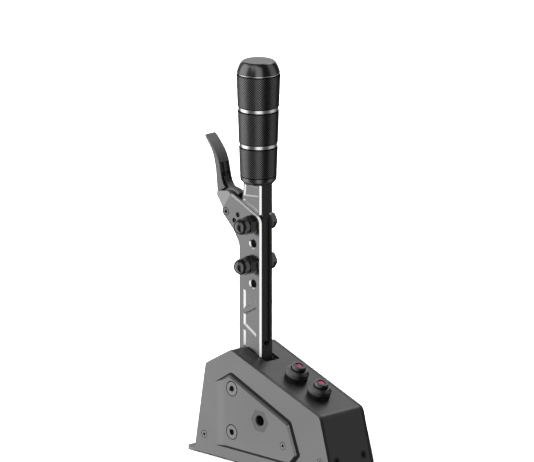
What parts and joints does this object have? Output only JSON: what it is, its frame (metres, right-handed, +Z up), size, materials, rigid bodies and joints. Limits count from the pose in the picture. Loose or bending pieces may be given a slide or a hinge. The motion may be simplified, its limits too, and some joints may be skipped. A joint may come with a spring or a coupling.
{
  "type": "sim racing gear shifter",
  "caption": "Sequential shifter for a racing simulator: lever on a wedge-shaped base, knurled grip, finger trigger behind the grip and push buttons on the sloping cover.",
  "frame": {"origin": "on the ground under the middle of the base plate", "axes": "+X towards the driver's end with the push buttons, +Z up, -Y is the side of the domed nuts"},
  "size_m": [0.1882, 0.056, 0.3366],
  "materials": {
    "plate_black": "satin black anodised",
    "cover_black": "satin black powder coat",
    "lever_black": "satin black anodised",
    "plain_alloy": "plain machined",
    "bright_steel": "bright",
    "black_steel": "black oxide",
    "grey_steel": "dark zinc",
    "grip_black": "black anodised knurl",
    "ring_silver": "polished",
    "gloss_black": "gloss",
    "button_black": "matte",
    "lens_red": "clear red",
    "rubber_black": "matte",
    "bronze": "sintered bronze",
    "white_acetal": "matte",
    "magnet_nickel": "nickel plated",
    "board_green": "solder mask",
    "socket_steel": "plated",
    "switch_black": "matte"
  },
  "bodies": {
    "base": {"left_side_plate": "plate_black", "right_side_plate": "plate_black", "top_cover": "cover_black", "rear_cover": "cover_black", "base_plate": "cover_black", "rear_block": "plain_alloy", "front_block": "plain_alloy", "cross_spacer": "bright_steel", "side_nuts": "grey_steel", "side_screws_large": "grey_steel", "side_screws_small": "grey_steel", "cover_screws": "black_steel", "rear_cover_screws": "black_steel", "base_screws": "bright_steel", "pivot_axle": "bright_steel", "pivot_spacers": "plain_alloy", "stop_pin": "bright_steel", "stop_sleeve": "rubber_black", "centring_spring_rear": "bright_steel", "centring_spring_front": "bright_steel", "spring_posts": "bright_steel", "sensor_board": "board_green", "sensor_posts": "bright_steel", "main_board": "board_green", "board_posts": "bright_steel", "socket_board": "board_green", "usb_socket": "socket_steel", "data_socket": "switch_black", "button_housings": "button_black", "button_nuts": "bright_steel", "button_switches": "switch_black"},
    "lever": {"lever_fork": "lever_black", "height_bar": "lever_black", "bar_bolts": "black_steel", "bar_washers": "black_steel", "acorn_nuts": "black_steel", "grip_core": "plain_alloy", "grip_collar": "grip_black", "grip_sleeve_lower": "grip_black", "grip_sleeve_middle": "grip_black", "grip_sleeve_upper": "grip_black", "grip_rings": "ring_silver", "grip_top_ring": "ring_silver", "grip_cap": "gloss_black", "trigger_axle": "grey_steel", "trigger_spring": "bright_steel", "trigger_switch": "switch_black", "switch_pins": "black_steel", "pivot_bushes": "bronze", "sensor_magnet": "magnet_nickel"},
    "trigger": {"trigger": "lever_black"},
    "button_1": {"button_plunger_1": "gloss_black", "button_lens_1": "lens_red"},
    "button_2": {"button_plunger_2": "gloss_black", "button_lens_2": "lens_red"},
    "spring_cap_front": {"spring_cap_front": "white_acetal"},
    "spring_cap_rear": {"spring_cap_rear": "white_acetal"}
  },
  "joints": [
    {"name": "lever_tilt", "type": "hinge", "parent": "base", "child": "lever", "pos_m": [-0.03435, 0, 0.0268], "axis": [0, 1, 0], "range_deg": [-5.5, 5.5], "stiffness_Nm_per_rad": 25, "deforming": ["centring_spring_rear", "centring_spring_front"]},
    {"name": "trigger_pull", "type": "hinge", "parent": "lever", "child": "trigger", "pos_m": [-0.06245, 0, 0.2049], "axis": [0, 1, 0], "range_deg": [0, 12], "stiffness_Nm_per_rad": 0.1, "springref_deg": -28.65, "deforming": ["trigger_spring"]},
    {"name": "button_1_press", "type": "slide", "parent": "base", "child": "button_1", "axis": [-0.3316, 0, -0.9434], "range_m": [0, 0.0015], "stiffness_N_per_m": 500, "springref_m": -0.002},
    {"name": "button_2_press", "type": "slide", "parent": "base", "child": "button_2", "axis": [-0.3316, 0, -0.9434], "range_m": [0, 0.0015], "stiffness_N_per_m": 500, "springref_m": -0.002},
    {"name": "cap_front_slide", "type": "slide", "parent": "base", "child": "spring_cap_front", "axis": [0, 0, 1], "range_m": [-0.002, 0.002]},
    {"name": "cap_rear_slide", "type": "slide", "parent": "base", "child": "spring_cap_rear", "axis": [0, 0, 1], "range_m": [-0.002, 0.002]}
  ],
  "couplings": [
    {"joint": "cap_front_slide", "follows": "lever_tilt", "m_per_rad": -0.02},
    {"joint": "cap_rear_slide", "follows": "lever_tilt", "m_per_rad": 0.02}
  ]
}
